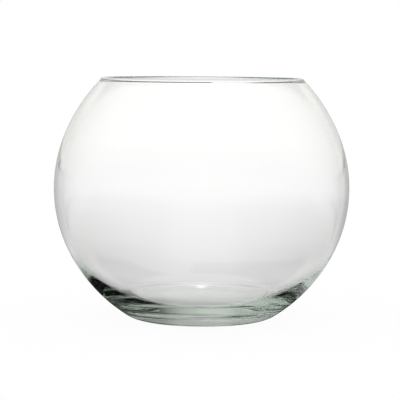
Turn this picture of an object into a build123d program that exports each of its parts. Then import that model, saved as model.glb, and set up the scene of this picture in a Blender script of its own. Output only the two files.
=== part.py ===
"""Rose bowl vase: a round bowl of clear blown glass, heavy in the base, drawn in to a wide open mouth."""

import os
from math import acos, cos, degrees, radians, sin

from build123d import *

# Outside of the bowl, in millimetres
HEIGHT = 162.4  # from the table to the top of the lip
BELLY_DIAMETER = 200.0  # across the widest ring
BELLY_HEIGHT = 87.6  # from the table to the widest ring
MOUTH_DIAMETER = 0.673 * BELLY_DIAMETER  # across the crown of the lip
FOOT_DIAMETER = 0.435 * BELLY_DIAMETER  # outer edge of the ring that stands on the table
FOOT_RING_WIDTH = 4.0  # flat width of that ring
BELLY_RADIUS = 0.477 * BELLY_DIAMETER  # curve of the side through the widest ring
BELLY_RISE = 22.0  # degrees of that curve above the widest ring
BELLY_FALL = 27.5  # degrees of that curve below it
HEEL_REACH = 4.67  # how far the curve of the heel runs on level past the foot ring

# Thickness of the glass, in millimetres
WALL = 2.6  # round the belly
LIP = 2.8  # round bead that fire polishing leaves on the lip
NECK = 2.0  # just under the bead
NECK_LEAN = 0.15  # how far the bead stands in from the middle of the wall
NECK_RADIUS = 6.0  # hollow curve from the wall into the bead
BASE = 10.2  # under the middle of the floor
PUSH_UP = 0.5  # how far the underside is hollowed in the middle

# Floor inside the bowl, in millimetres
FLOOR_DIAMETER = 0.46 * BELLY_DIAMETER  # flat part
CORNER_REACH = 6.25  # how far the curve into the wall runs on level past the flat part


def on_circle(centre, radius, angle):
    """The point of a circle of the profile at an angle in degrees above level."""
    turn = radians(angle)
    return centre + Vector(cos(turn), sin(turn)) * radius


def joins_at(start, reach, end, slope):
    """Where the two arcs join that lead smoothly from level at start to the slope at end."""
    level = Vector(1, 0)
    gap = end - start
    rest = (gap.dot(gap) / 2 - reach * gap.dot(level)) / (gap.dot(slope) + reach * (1 - level.dot(slope)))
    low = start + level * reach
    high = end - slope * rest
    return low + (high - low) * (reach / (reach + rest))


# Belly, with one centre for the outside and the inside
belly = Vector(BELLY_DIAMETER / 2 - BELLY_RADIUS, BELLY_HEIGHT)
inner_radius = BELLY_RADIUS - WALL
outer_high = on_circle(belly, BELLY_RADIUS, BELLY_RISE)
inner_high = on_circle(belly, inner_radius, BELLY_RISE)
outer_low = on_circle(belly, BELLY_RADIUS, -BELLY_FALL)
inner_low = on_circle(belly, inner_radius, -BELLY_FALL)
high_inward = (belly - outer_high).normalized()
low_slope = Vector(sin(radians(BELLY_FALL)), cos(radians(BELLY_FALL)))

# Lip, a bead on the end of the shoulder curve with a hollow under it outside and inside
lip_centre = Vector(MOUTH_DIAMETER / 2, HEIGHT - LIP / 2)
shoulder_start = outer_high + high_inward * (NECK / 2 + NECK_LEAN)
reach = lip_centre - shoulder_start
shoulder_radius = reach.length**2 / (2 * reach.dot(high_inward))
shoulder_centre = shoulder_start + high_inward * shoulder_radius


def neck_at(side):
    """Where the hollow leaves the wall and where it meets the bead, outside (1) or inside (-1)."""
    wall = shoulder_radius + NECK_LEAN + side * NECK / 2
    hollow = wall + side * NECK_RADIUS
    gap = LIP / 2 + NECK_RADIUS
    back = acos((shoulder_radius**2 + hollow**2 - gap**2) / (2 * shoulder_radius * hollow))
    heading = (lip_centre - shoulder_centre).normalized().rotate(Axis.Z, -degrees(back))
    hollow_centre = shoulder_centre + heading * hollow
    wall_end = shoulder_centre + heading * wall
    bead_start = hollow_centre + (lip_centre - hollow_centre) * (NECK_RADIUS / gap)
    return wall_end, bead_start


neck_outside, bead_outside = neck_at(1)
neck_inside, bead_inside = neck_at(-1)

# Foot and heel outside, floor and its corner inside
foot_edge = Vector(FOOT_DIAMETER / 2, 0)
foot_inside = foot_edge - Vector(FOOT_RING_WIDTH, 0)
heel_top = joins_at(foot_edge, HEEL_REACH, outer_low, low_slope)
floor_middle = Vector(0, PUSH_UP + BASE)
floor_edge = floor_middle + Vector(FLOOR_DIAMETER / 2, 0)
corner_top = joins_at(floor_edge, CORNER_REACH, inner_low, low_slope)

with BuildPart() as glass_bowl:
    with BuildSketch(Plane.XZ):
        with BuildLine():
            TangentArc((0, PUSH_UP), foot_inside, tangent=(1, 0))
            Line(foot_inside, foot_edge)
            heel = TangentArc(foot_edge, heel_top, tangent=(1, 0))
            lower_side = TangentArc(heel_top, outer_low, tangent=heel % 1)
            side = TangentArc(outer_low, outer_high, tangent=lower_side % 1)
            shoulder = TangentArc(outer_high, neck_outside, tangent=side % 1)
            neck = TangentArc(neck_outside, bead_outside, tangent=shoulder % 1)
            TangentArc(bead_outside, bead_inside, tangent=neck % 1)
            inner_shoulder = TangentArc(inner_high, neck_inside, tangent=side % 1)
            TangentArc(neck_inside, bead_inside, tangent=inner_shoulder % 1)
            corner = TangentArc(floor_edge, corner_top, tangent=(1, 0))
            lower_wall = TangentArc(corner_top, inner_low, tangent=corner % 1)
            TangentArc(inner_low, inner_high, tangent=lower_wall % 1)
            Line(floor_edge, floor_middle)
            Line(floor_middle, (0, PUSH_UP))
        make_face()
    revolve(axis=Axis.Z)

glass_bowl.part.label = "glass_bowl"

os.makedirs("parts", exist_ok=True)
export_step(glass_bowl.part, "parts/glass_bowl.step")
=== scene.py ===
"""Rose bowl vase: the clear blown glass bowl and the pale studio that it is shown in."""

from math import acos, atan2, cos, pi, radians, sin

import bmesh
import bpy
from bpy.props import FloatProperty, FloatVectorProperty, IntProperty, PointerProperty
from mathutils import Matrix, Vector, noise


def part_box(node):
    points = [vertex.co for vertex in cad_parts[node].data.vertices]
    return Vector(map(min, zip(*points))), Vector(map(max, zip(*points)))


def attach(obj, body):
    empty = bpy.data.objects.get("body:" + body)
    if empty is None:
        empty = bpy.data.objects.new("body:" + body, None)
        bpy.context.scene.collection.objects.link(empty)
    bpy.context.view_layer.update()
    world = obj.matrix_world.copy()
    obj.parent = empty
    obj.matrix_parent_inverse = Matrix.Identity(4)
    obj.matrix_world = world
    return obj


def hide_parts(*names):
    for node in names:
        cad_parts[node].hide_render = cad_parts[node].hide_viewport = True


bl_info = {
    "name": "Rose Bowl Vase",
    "version": (1, 0, 0),
    "blender": (4, 5, 0),
    "location": "3D View > Sidebar > Rose Bowl",
    "description": "Builds a rose bowl vase of clear blown glass and a pale studio round it",
    "category": "Object",
}

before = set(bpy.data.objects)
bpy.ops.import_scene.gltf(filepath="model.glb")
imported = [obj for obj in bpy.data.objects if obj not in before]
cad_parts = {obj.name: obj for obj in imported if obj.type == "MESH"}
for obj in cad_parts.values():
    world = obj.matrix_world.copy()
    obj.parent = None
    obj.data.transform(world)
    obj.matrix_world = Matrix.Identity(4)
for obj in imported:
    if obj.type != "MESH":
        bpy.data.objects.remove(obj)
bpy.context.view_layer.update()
bowl_low, bowl_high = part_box("glass_bowl")

# Rings of blown glass, in metres
RINGS_START = 0.028  # height above the table where they begin
RINGS_STOP = 0.012  # distance below the top of the lip where they end
RINGS_FADE = 0.02  # height over which they fade in and out
RINGS_ACROSS = 6  # waves to the metre round the bowl
RINGS_UP = 320  # waves to the metre up the wall

# Mesh and finish of the glass
MERGE_DISTANCE = 1e-6
HAZE = 0.006  # greatest roughness of the fire polished surface
CLEAR = (1.0, 1.0, 1.0, 1.0)
FAINT_GREEN = (0.996, 1.0, 0.998, 1.0)

# Camera, fitted on a picture of this many pixels across
PICTURE_WIDTH = 400
FOCAL_LENGTH = 1550  # in those pixels
AIM_OFFSET = 1.5  # in those pixels, from the middle of the picture to the axis of the bowl
SENSOR_WIDTH = 36.0  # millimetres

# Paper floor and view, in metres
FLOOR_RADIUS = 20.0
FLOOR_SEGMENTS = 96
FLOOR_DROP = 0.0002  # keeps the paper just clear of the foot
CLIP_START = 0.01
CLIP_END = 100.0

# Bounces of light, enough for what is caught in the base
BOUNCES = 64

# Tones of the studio in the glass, where 1 is white
PANEL_TONE = 1.08
PANEL_COUNT = 6.0
GAP_DIP = 0.3
EVEN_GAP = 0.3
SIDE_TONE = 1.05
DARK_TONE = 0.05
LEAST_TONE = 0.005
WHITE = (1, 1, 1, 1)
CREAM_PAPER = (1, 1, 0.98, 1)
CREAM_TENT = (1, 1, 0.965, 1)
GREEN_TENT = (0.92, 1, 0.945, 1)
FLOOR_WHITE = 0.96  # share of the paper that is plain white to the camera, while the rest keeps the shadow


class RoseBowlShape(bpy.types.PropertyGroup):
    """Sizes of the glass bowl."""

    height: FloatProperty(
        name="Height",
        description="From the table to the top of the lip",
        default=bowl_high.z - bowl_low.z,
        unit="LENGTH",
    )
    belly_diameter: FloatProperty(
        name="Belly Diameter",
        description="Across the widest ring",
        default=0.200,
        unit="LENGTH",
    )
    belly_height: FloatProperty(
        name="Belly Height",
        description="From the table to the widest ring",
        default=0.0876,
        unit="LENGTH",
    )
    mouth_diameter: FloatProperty(
        name="Mouth Diameter",
        description="Across the crown of the lip",
        default=0.1346,
        unit="LENGTH",
    )
    foot_diameter: FloatProperty(
        name="Foot Diameter",
        description="Outer edge of the ring that stands on the table",
        default=0.087,
        unit="LENGTH",
    )
    foot_ring_width: FloatProperty(
        name="Foot Ring Width",
        description="Flat width of the ring that stands on the table",
        default=0.004,
        unit="LENGTH",
    )
    belly_radius: FloatProperty(
        name="Belly Radius",
        description="Curve of the side through the widest ring",
        default=0.0954,
        unit="LENGTH",
    )
    belly_rise: FloatProperty(
        name="Belly Rise",
        description="How far that curve goes on above the widest ring",
        default=radians(22.0),
        subtype="ANGLE",
    )
    belly_fall: FloatProperty(
        name="Belly Fall",
        description="How far that curve goes on below the widest ring",
        default=radians(27.5),
        subtype="ANGLE",
    )
    heel_reach: FloatProperty(
        name="Heel Reach",
        description="How far the curve of the heel runs on level past the foot ring",
        default=0.00467,
        unit="LENGTH",
    )
    wall: FloatProperty(
        name="Wall",
        description="Thickness of the glass round the belly",
        default=0.0026,
        unit="LENGTH",
    )
    lip: FloatProperty(
        name="Lip",
        description="Thickness of the round bead that fire polishing leaves on the lip",
        default=0.0028,
        unit="LENGTH",
    )
    neck: FloatProperty(
        name="Neck",
        description="Thickness of the wall just under the bead",
        default=0.0020,
        unit="LENGTH",
    )
    neck_lean: FloatProperty(
        name="Neck Lean",
        description="How far the bead stands in from the middle of the wall",
        default=0.00015,
        unit="LENGTH",
    )
    neck_radius: FloatProperty(
        name="Neck Radius",
        description="Hollow curve from the wall into the bead",
        default=0.006,
        unit="LENGTH",
    )
    floor_height: FloatProperty(
        name="Floor Height",
        description="From the table to the floor inside the bowl",
        default=0.0107,
        unit="LENGTH",
    )
    push_up: FloatProperty(
        name="Push Up",
        description="How far the underside is hollowed in the middle",
        default=0.0005,
        unit="LENGTH",
    )
    floor_diameter: FloatProperty(
        name="Floor Diameter",
        description="Flat part of the floor inside the bowl",
        default=0.092,
        unit="LENGTH",
    )
    corner_reach: FloatProperty(
        name="Corner Reach",
        description="How far the curve into the wall runs on level past the flat floor",
        default=0.00625,
        unit="LENGTH",
    )
    ring_depth: FloatProperty(
        name="Ring Depth",
        description="How deep the faint uneven rings of blown glass are on the inside",
        default=0.000012,
        unit="LENGTH",
    )
    turns: IntProperty(
        name="Segments",
        description="Faces round the bowl",
        default=256,
        min=32,
    )


class RoseBowlGlass(bpy.types.PropertyGroup):
    """Finish of the glass."""

    tint: FloatVectorProperty(
        name="Tint",
        description="Colour that thick glass turns the light",
        default=(0.50, 0.585, 0.505),
        subtype="COLOR",
        size=3,
    )
    tint_density: FloatProperty(
        name="Tint Density",
        description="How fast the tint builds up with depth, per metre",
        default=5.5,
    )
    index: FloatProperty(
        name="Refractive Index",
        description="How strongly the glass bends light",
        default=1.5,
    )


class RoseBowlStage(bpy.types.PropertyGroup):
    """Camera, floor and light of the studio."""

    camera_distance: FloatProperty(
        name="Camera Distance",
        description="From the axis of the bowl to the camera",
        default=1.05,
        unit="LENGTH",
    )
    camera_height: FloatProperty(
        name="Camera Height",
        description="Of the camera above the table",
        default=0.1765,
        unit="LENGTH",
    )
    camera_pitch: FloatProperty(
        name="Camera Pitch",
        description="How far the camera looks down",
        default=0.0922,
        subtype="ANGLE",
    )
    camera_roll: FloatProperty(
        name="Camera Roll",
        description="How far the camera leans to the left",
        default=0.0075,
        subtype="ANGLE",
    )
    camera_turn: FloatProperty(
        name="Camera Turn",
        description="How far the camera looks past the bowl to the left",
        default=AIM_OFFSET / FOCAL_LENGTH,
        subtype="ANGLE",
    )
    lens: FloatProperty(
        name="Lens",
        description="Focal length on a 36 mm wide picture",
        default=FOCAL_LENGTH / PICTURE_WIDTH * SENSOR_WIDTH,
        unit="CAMERA",
    )


class Wire:
    """One socket of a node tree, so that shader maths reads as plain sums."""

    def __init__(self, tree, socket=None):
        self.tree = tree
        self.socket = socket

    def node(self, kind, settings=None, inputs=None, output=0):
        """Adds a node, makes its settings, fills or links its inputs and gives one of its outputs."""
        made = self.tree.nodes.new(kind)
        for name, value in (settings or {}).items():
            setattr(made, name, value)
        for name, value in (inputs or {}).items():
            if isinstance(value, Wire):
                self.tree.links.new(value.socket, made.inputs[name])
            else:
                made.inputs[name].default_value = value
        if not made.outputs:
            return None
        return Wire(self.tree, made.outputs[output])

    def maths(self, operation, *values):
        return self.node("ShaderNodeMath", {"operation": operation}, dict(enumerate(values)))

    def __add__(self, other):
        return self.maths("ADD", self, other)

    __radd__ = __add__

    def __sub__(self, other):
        return self.maths("SUBTRACT", self, other)

    def __rsub__(self, other):
        return self.maths("SUBTRACT", other, self)

    def __mul__(self, other):
        return self.maths("MULTIPLY", self, other)

    __rmul__ = __mul__

    def __truediv__(self, other):
        return self.maths("DIVIDE", self, other)

    def ranged(self, low, high):
        """0 at low and 1 at high, eased at both ends."""
        return self.node(
            "ShaderNodeMapRange",
            {"interpolation_type": "SMOOTHSTEP"},
            {"Value": self, "From Min": low, "From Max": high},
        )

    def mixed(self, first, second):
        """From the first colour at 0 to the second at 1."""
        return self.node(
            "ShaderNodeMix",
            {"data_type": "RGBA"},
            {"Factor": self, 6: first, 7: second},
            output=2,
        )


def shader_tree(owner):
    """Empties the nodes of a material or world and gives its tree as a wire."""
    owner.use_nodes = True
    owner.node_tree.nodes.clear()
    return Wire(owner.node_tree)


def rgba(colour):
    return (*colour, 1.0)


def across(heading):
    """A heading of the profile turned a quarter to the left."""
    return Vector((-heading.y, heading.x))


def bend(start, heading, end):
    """Centre and turn of the arc that leaves start along heading and ends at end."""
    gap = end - start
    side = across(heading)
    centre = start + side * (gap.length_squared / (2 * gap.dot(side)))
    return centre, 2 * atan2(gap.dot(side), gap.dot(heading))


def joins_at(start, reach, end, slope):
    """Where the two arcs join that lead smoothly from level at start to the slope at end."""
    level = Vector((1, 0))
    gap = end - start
    spare = gap.dot(gap) / 2 - reach * gap.dot(level)
    rest = spare / (gap.dot(slope) + reach * (1 - level.dot(slope)))
    low = start + level * reach
    high = end - slope * rest
    return low + (high - low) * (reach / (reach + rest))


class GlassSection:
    """The cut face of the bowl, drawn point by point from the axis round to the axis again."""

    def __init__(self, start):
        self.mesh = bmesh.new()
        self.tip = self.mesh.verts.new((start.x, 0, start.y))
        self.heading = Vector((1, 0))

    @property
    def place(self):
        return Vector((self.tip.co.x, self.tip.co.z))

    def spin(self, **how):
        made = bmesh.ops.spin(self.mesh, geom=[self.tip], axis=(0, -1, 0), **how)
        self.tip = next(item for item in made["geom_last"] if isinstance(item, bmesh.types.BMVert))

    def run(self, end, steps):
        """A straight stretch to end."""
        gap = end - self.place
        self.spin(cent=(0, 0, 0), angle=0.0, dvec=(gap.x / steps, 0, gap.y / steps), steps=steps)
        self.heading = gap.normalized()

    def turn(self, centre, angle, steps):
        """An arc round centre."""
        self.spin(cent=(centre.x, 0, centre.y), angle=angle, steps=steps)
        self.heading = Matrix.Rotation(angle, 2) @ self.heading

    def curve(self, end, steps):
        """An arc that goes on from the last stretch and ends at end."""
        centre, angle = bend(self.place, self.heading, end)
        self.turn(centre, angle, steps)


def neck_at(shape, lip_centre, shoulder_centre, side):
    """Where the hollow under the bead leaves the wall and meets the bead, outside (1) or inside (-1)."""
    shoulder = lip_centre - shoulder_centre
    wall = shoulder.length + shape.neck_lean + side * shape.neck / 2
    hollow = wall + side * shape.neck_radius
    gap = shape.lip / 2 + shape.neck_radius
    back = acos((shoulder.length_squared + hollow**2 - gap**2) / (2 * shoulder.length * hollow))
    heading = Matrix.Rotation(-back, 2) @ shoulder.normalized()
    hollow_centre = shoulder_centre + heading * hollow
    return shoulder_centre + heading * wall, hollow_centre.lerp(lip_centre, shape.neck_radius / gap)


def glass_section(shape):
    """The profile of the bowl as a chain of edges, heavy in the base and round at the lip."""
    belly = Vector((shape.belly_diameter / 2 - shape.belly_radius, shape.belly_height))
    rise = Vector((cos(shape.belly_rise), sin(shape.belly_rise)))
    fall = Vector((cos(shape.belly_fall), -sin(shape.belly_fall)))
    inner_radius = shape.belly_radius - shape.wall
    outer_high = belly + rise * shape.belly_radius
    inner_high = belly + rise * inner_radius
    outer_low = belly + fall * shape.belly_radius
    inner_low = belly + fall * inner_radius

    lip_centre = Vector((shape.mouth_diameter / 2, shape.height - shape.lip / 2))
    shoulder_start = outer_high - rise * (shape.neck / 2 + shape.neck_lean)
    shoulder_centre, _ = bend(shoulder_start, across(rise), lip_centre)
    neck_outside, bead_outside = neck_at(shape, lip_centre, shoulder_centre, 1)
    neck_inside, bead_inside = neck_at(shape, lip_centre, shoulder_centre, -1)

    foot_edge = Vector((shape.foot_diameter / 2, 0))
    foot_inside = foot_edge - Vector((shape.foot_ring_width, 0))
    heel_top = joins_at(foot_edge, shape.heel_reach, outer_low, across(fall))
    floor_middle = Vector((0, shape.floor_height))
    floor_edge = floor_middle + Vector((shape.floor_diameter / 2, 0))
    corner_top = joins_at(floor_edge, shape.corner_reach, inner_low, across(fall))

    section = GlassSection(Vector((0, shape.push_up)))
    section.curve(foot_inside, steps=12)
    section.run(foot_edge, steps=3)
    section.curve(heel_top, steps=16)
    section.curve(outer_low, steps=30)
    section.curve(outer_high, steps=34)
    section.curve(neck_outside, steps=24)
    section.curve(bead_outside, steps=6)
    section.curve(bead_inside, steps=24)
    section.curve(neck_inside, steps=6)
    inner_shoulder, inner_turn = bend(inner_high, across(rise), neck_inside)
    section.turn(inner_shoulder, -inner_turn, steps=24)
    section.heading = -across(rise)
    section.curve(inner_low, steps=90)
    section.curve(corner_top, steps=44)
    section.curve(floor_edge, steps=16)
    section.run(floor_middle, steps=12)
    return section.mesh


def leave_rings(mesh, shape):
    """Leaves the faint uneven rings of blown glass on the inside, between the base and the lip."""
    middle = Vector((0, 0, shape.belly_height))
    mesh.normal_update()
    for vert in mesh.verts:
        if vert.normal.dot(middle - vert.co) > 0:
            low = min(1.0, max(0.0, (vert.co.z - RINGS_START) / RINGS_FADE))
            high = min(1.0, max(0.0, (shape.height - RINGS_STOP - vert.co.z) / RINGS_FADE))
            wave = noise.noise((vert.co.x * RINGS_ACROSS, vert.co.y * RINGS_ACROSS, vert.co.z * RINGS_UP))
            vert.co += vert.normal * (wave * low * high * shape.ring_depth)


def glass_material(glass):
    """Clear soda glass that turns a little green where it is thick."""
    material = bpy.data.materials.new("clear_glass")
    tree = shader_tree(material)
    place = tree.node("ShaderNodeTexCoord", output="Object")
    cords = tree.node(
        "ShaderNodeTexNoise",
        None,
        {"Vector": place, "Scale": 22.0, "Detail": 2.0, "Roughness": 0.5},
    )
    seeds = cords.ranged(0.35, 0.75)
    colour = seeds.mixed(FAINT_GREEN, CLEAR)
    surface = tree.node(
        "ShaderNodeBsdfPrincipled",
        None,
        {
            "Base Color": colour,
            "Roughness": seeds * HAZE,
            "IOR": glass.index,
            "Transmission Weight": 1.0,
        },
    )
    depth = tree.node(
        "ShaderNodeVolumeAbsorption",
        None,
        {"Color": rgba(glass.tint), "Density": glass.tint_density},
    )
    tree.node("ShaderNodeOutputMaterial", None, {"Surface": surface, "Volume": depth})
    return material


class ROSEBOWL_OT_glass_bowl(bpy.types.Operator):
    """Turn the section of the bowl into blown glass"""

    bl_idname = "rose_bowl.glass_bowl"
    bl_label = "Glass Bowl"

    def execute(self, context):
        shape = context.scene.rose_bowl_shape
        mesh = glass_section(shape)
        bmesh.ops.spin(
            mesh,
            geom=mesh.verts[:] + mesh.edges[:],
            cent=(0, 0, 0),
            axis=(0, 0, 1),
            angle=2 * pi,
            steps=shape.turns,
            use_merge=True,
        )
        bmesh.ops.remove_doubles(mesh, verts=mesh.verts, dist=MERGE_DISTANCE)
        bmesh.ops.recalc_face_normals(mesh, faces=mesh.faces)
        if any(not edge.is_manifold for edge in mesh.edges):
            raise RuntimeError("the glass bowl isn't closed")
        leave_rings(mesh, shape)
        for face in mesh.faces:
            face.smooth = True
        data = bpy.data.meshes.new("blown_glass")
        mesh.to_mesh(data)
        mesh.free()
        data.materials.append(glass_material(context.scene.rose_bowl_glass))
        bowl = bpy.data.objects.new("blown_glass_bowl", data)
        context.scene.collection.objects.link(bowl)
        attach(bowl, "root")
        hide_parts("glass_bowl")
        return {"FINISHED"}


def light_path(tree, output):
    return tree.node("ShaderNodeLightPath", output=output)


def from_bounce(depth, count):
    """1 for light that has bounced count times or more, and 0 for the rest."""
    return depth.ranged(count - 0.8, count - 0.2)


def rays_in_glass(tree):
    """0 for plain light, 1 for what the glass mirrors and 2 for what it refracts, which counts as both."""
    return light_path(tree, "Is Glossy Ray") + light_path(tree, "Is Transmission Ray")


def axes(tree, place):
    """East, north and up of a place or direction, with the camera in the south."""
    return [tree.node("ShaderNodeSeparateXYZ", None, {0: place}, output=axis) for axis in "XYZ"]


def studio_tone(tree, place, plain=0.0):
    """How bright the studio is in the glass, by compass direction and by the number of reflections.

    Straight through the wall there are light panels with soft gaps between them. Each step of reflections
    then has its own tone, down to the dark cards that show deep in the base. The rim shows a dark ceiling
    and a dark seam round the top of the tent. Where plain is 1, the gaps and sides are evened out.
    """
    east, north, up = axes(tree, place)
    turn = tree.maths("ARCTAN2", east, north)
    aside = tree.maths("ABSOLUTE", turn)
    gap = 0.5 - tree.maths("COSINE", turn * PANEL_COUNT) * 0.5
    panels = PANEL_TONE - (gap + (EVEN_GAP - gap) * plain) * GAP_DIP

    # Grey sides, darkest a little below level, that draw the edge of the bowl
    side = aside.ranged(radians(3), radians(10)) * (1.0 - aside.ranged(radians(15), radians(70)))
    below = 1.0 - up.ranged(-0.25, -0.08)
    dip = 0.78 - up.ranged(-0.03, 0.05) * 0.62 - up.ranged(0.1, 0.35) * 0.16
    dip = dip + below * turn.ranged(0.0, radians(10)) * 0.2
    sides = SIDE_TONE - side * dip * (1.0 - plain * 0.7)

    # Places of the panels and dark cards that show after more reflections
    glint = 1.0 - aside.ranged(radians(1), radians(5))
    ahead = 1.0 - aside.ranged(radians(2), radians(6))
    spot = (1.0 - aside.ranged(radians(12), radians(25))) * up.ranged(0.38, 0.5)
    sideways = aside.ranged(radians(20), radians(40)) * (1.0 - aside.ranged(radians(80), radians(100)))
    right = turn.ranged(radians(-5), radians(30))

    steps = (
        # Edge of the bowl, rim and the glint on the floor of the bowl
        (1, sides),
        (2, sides + glint * 0.6),
        # Strip above the foot
        (3, 0.76 - aside.ranged(radians(5), radians(30)) * 0.06),
        # Pale band above that strip, with a dark spot in the middle
        (4, 0.85 - right * 0.1),
        (5, 0.9 - aside.ranged(radians(8), radians(25)) * 0.1 - right * 0.25 - spot * 0.6),
        # Dark wedge at the left and dark patch at the right
        (6, 1.0 - turn.ranged(0.0, radians(20)) * 0.7),
        (8, 0.9 - turn.ranged(radians(5), radians(25)) * 0.85),
        (10, 1.0 - tree.maths("MAXIMUM", sideways, ahead) * 0.95),
        (14, 0.58 - right * 0.53),
        (20, 0.95 - right * 0.9),
        # Low edge of the bowl and back of the rim
        (26, 0.85),
        (36, 1.0),
    )
    bounces = light_path(tree, "Glossy Depth")
    tone = panels
    for step, shade in steps:
        tone = tone + (shade - tone) * from_bounce(bounces, step)

    mirrored = from_bounce(bounces, 1)
    ceiling = up.ranged(0.4, 0.75) * (1.0 - mirrored)
    hoop = tree.maths("SQRT", east * east + (north - 0.5) * (north - 0.5))
    seam = 1.0 - tree.maths("ABSOLUTE", hoop - 0.5).ranged(0.1, 0.2)
    lamp = east.ranged(0.05, 0.12) * (1.0 - north.ranged(0.24, 0.32))
    seam = seam * up.ranged(0.3, 0.45) * (1.0 - lamp) * (1.0 - north.ranged(0.2, 0.8) * 0.55)
    seam = seam * mirrored * (1.0 - from_bounce(bounces, 2))
    through = from_bounce(light_path(tree, "Transmission Depth"), 1)
    return tone + (DARK_TONE - tone) * (ceiling + seam) * through


def floor_material():
    """Pale paper, white to the camera. In the glass it glows with the studio's panels and cards painted on
    it, and with painted shadow near the bowl, in front and at its flanks.
    """
    material = bpy.data.materials.new("paper_floor")
    tree = shader_tree(material)
    place = tree.node("ShaderNodeTexCoord", output="Object")
    east, north, _ = axes(tree, place)
    aside = tree.maths("ABSOLUTE", east)
    away = tree.node("ShaderNodeVectorMath", {"operation": "LENGTH"}, {0: place}, output="Value")
    # Painted shade on the paper round the bowl, fading with distance, and a painted contact shadow right
    # under the foot
    near = tree.maths("EXPONENT", away * -1.0)
    under = 1.0 - away.ranged(0.015, 0.06)

    # Painted shade on the paper in front of the bowl, in what the glass mirrors and close under the bowl,
    # most of all where the outside of the flanks mirrors it, and painted shadow on the paper under the
    # flanks
    mirrored = from_bounce(light_path(tree, "Glossy Depth"), 1)
    outside = 1.0 - from_bounce(light_path(tree, "Transmission Depth"), 1)
    slant = outside * (aside / away).ranged(0.25, 0.5)
    painted_front_shade = tree.maths("EXPONENT", away / -0.5) * 0.4 + tree.maths("EXPONENT", away / -1.5) * slant * 0.58
    reached = tree.maths("MAXIMUM", mirrored, 1.0 - away.ranged(0.06, 0.15))
    front = reached * (1.0 - north.ranged(-0.1, 0.1)) * painted_front_shade
    painted_flank_shadow = slant * (1.0 - away.ranged(0.1, 0.2)) * (1.0 - east.ranged(0.07, 0.1) * 0.7)
    front = tree.maths("MAXIMUM", front, painted_flank_shadow)

    # Painted shade on the paper at the sides of the bowl, more at the right, and only close to it
    painted_side_shade = east.ranged(0.03, 0.4) * 0.08 + aside.ranged(0.06, 0.3) * 0.05
    # All the painted shade and shadow together, times the studio's panels and cards painted on the paper: a
    # glow that only the glass sees
    shade = (1.0 - near * 0.26) * (1.0 - front) * (1.0 - under * 0.12)
    shade = shade * (1.0 - painted_side_shade * (1.0 - away.ranged(0.3, 1.0)))
    tone = studio_tone(tree, place, 1.0 - away.ranged(0.08, 0.3)) * shade
    colour = away.ranged(0.5, 5.0).mixed(WHITE, CREAM_PAPER)
    shown = tree.node("ShaderNodeEmission", None, {"Color": colour, "Strength": tone})

    paper = tree.node("ShaderNodeBsdfDiffuse", None, {"Color": WHITE})
    white = tree.node("ShaderNodeEmission", None, {"Color": WHITE, "Strength": 1.0})
    seen = light_path(tree, "Is Camera Ray")
    plain = tree.node("ShaderNodeMixShader", None, {0: seen * FLOOR_WHITE, 1: paper, 2: white})
    floor = tree.node("ShaderNodeMixShader", None, {0: rays_in_glass(tree), 1: plain, 2: shown})
    tree.node("ShaderNodeOutputMaterial", None, {"Surface": floor})
    return material


def studio_light():
    """White tent: plain light on everything, with its panels and cards showing only in the glass."""
    world = bpy.data.worlds.new("white_tent")
    tree = shader_tree(world)
    direction = tree.node("ShaderNodeTexCoord", output="Generated")
    tone = studio_tone(tree, direction)
    in_glass = rays_in_glass(tree)
    # Refracted light counts twice here, which deepens its tones, so the darkest are held above nothing
    shown = tree.maths("MAXIMUM", 1.0 - in_glass * (1.0 - tone), LEAST_TONE)
    deep = light_path(tree, "Glossy Depth").ranged(3.2, 6.8)
    colour = in_glass.mixed(WHITE, deep.mixed(CREAM_TENT, GREEN_TENT))
    light = tree.node("ShaderNodeBackground", None, {"Color": colour, "Strength": shown})
    tree.node("ShaderNodeOutputWorld", None, {"Surface": light})
    return world


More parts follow.
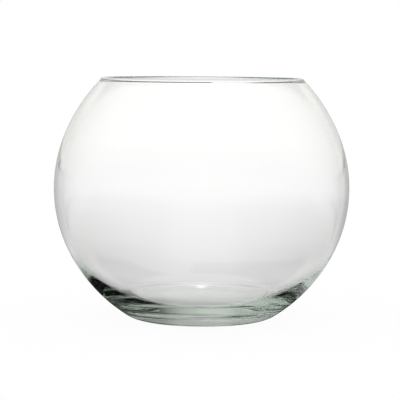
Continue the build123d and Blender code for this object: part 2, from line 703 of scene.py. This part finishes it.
class ROSEBOWL_OT_stage(bpy.types.Operator):
    """Set up the floor, the light and the camera"""

    bl_idname = "rose_bowl.stage"
    bl_label = "Stage"

    def execute(self, context):
        scene = context.scene
        stage = scene.rose_bowl_stage

        mesh = bmesh.new()
        bmesh.ops.create_circle(mesh, cap_ends=True, segments=FLOOR_SEGMENTS, radius=FLOOR_RADIUS)
        data = bpy.data.meshes.new("paper_floor")
        mesh.to_mesh(data)
        mesh.free()
        data.materials.append(floor_material())
        floor = bpy.data.objects.new("paper_floor", data)
        scene.collection.objects.link(floor)
        floor.location.z = -FLOOR_DROP

        scene.world = studio_light()
        scene.view_settings.view_transform = "Standard"
        scene.cycles.max_bounces = BOUNCES
        scene.cycles.glossy_bounces = BOUNCES
        scene.cycles.transmission_bounces = BOUNCES

        camera = bpy.data.objects.new("camera", bpy.data.cameras.new("camera"))
        camera.data.lens = stage.lens
        camera.data.sensor_width = SENSOR_WIDTH
        camera.data.clip_start = CLIP_START
        camera.data.clip_end = CLIP_END
        scene.collection.objects.link(camera)
        camera.matrix_world = (
            Matrix.Translation((0, -stage.camera_distance, stage.camera_height))
            @ Matrix.Rotation(stage.camera_turn, 4, "Z")
            @ Matrix.Rotation(pi / 2 - stage.camera_pitch, 4, "X")
            @ Matrix.Rotation(stage.camera_roll, 4, "Z")
        )
        scene.camera = camera
        return {"FINISHED"}


class ROSEBOWL_PT_sidebar(bpy.types.Panel):
    """Rose bowl vase"""

    bl_idname = "ROSEBOWL_PT_sidebar"
    bl_label = "Rose Bowl Vase"
    bl_space_type = "VIEW_3D"
    bl_region_type = "UI"
    bl_category = "Rose Bowl"

    def draw(self, context):
        scene = context.scene
        for group, operator in (
            (scene.rose_bowl_shape, None),
            (scene.rose_bowl_glass, ROSEBOWL_OT_glass_bowl),
            (scene.rose_bowl_stage, ROSEBOWL_OT_stage),
        ):
            box = self.layout.box()
            for name in group.__annotations__:
                box.prop(group, name)
            if operator:
                box.operator(operator.bl_idname)


CLASSES = (
    RoseBowlShape,
    RoseBowlGlass,
    RoseBowlStage,
    ROSEBOWL_OT_glass_bowl,
    ROSEBOWL_OT_stage,
    ROSEBOWL_PT_sidebar,
)


def register():
    for cls in CLASSES:
        bpy.utils.register_class(cls)
    bpy.types.Scene.rose_bowl_shape = PointerProperty(type=RoseBowlShape)
    bpy.types.Scene.rose_bowl_glass = PointerProperty(type=RoseBowlGlass)
    bpy.types.Scene.rose_bowl_stage = PointerProperty(type=RoseBowlStage)


def unregister():
    del bpy.types.Scene.rose_bowl_stage
    del bpy.types.Scene.rose_bowl_glass
    del bpy.types.Scene.rose_bowl_shape
    for cls in reversed(CLASSES):
        bpy.utils.unregister_class(cls)


def main():
    register()
    bpy.ops.rose_bowl.stage()
    bpy.ops.rose_bowl.glass_bowl()


if __name__ == "__main__":
    main()
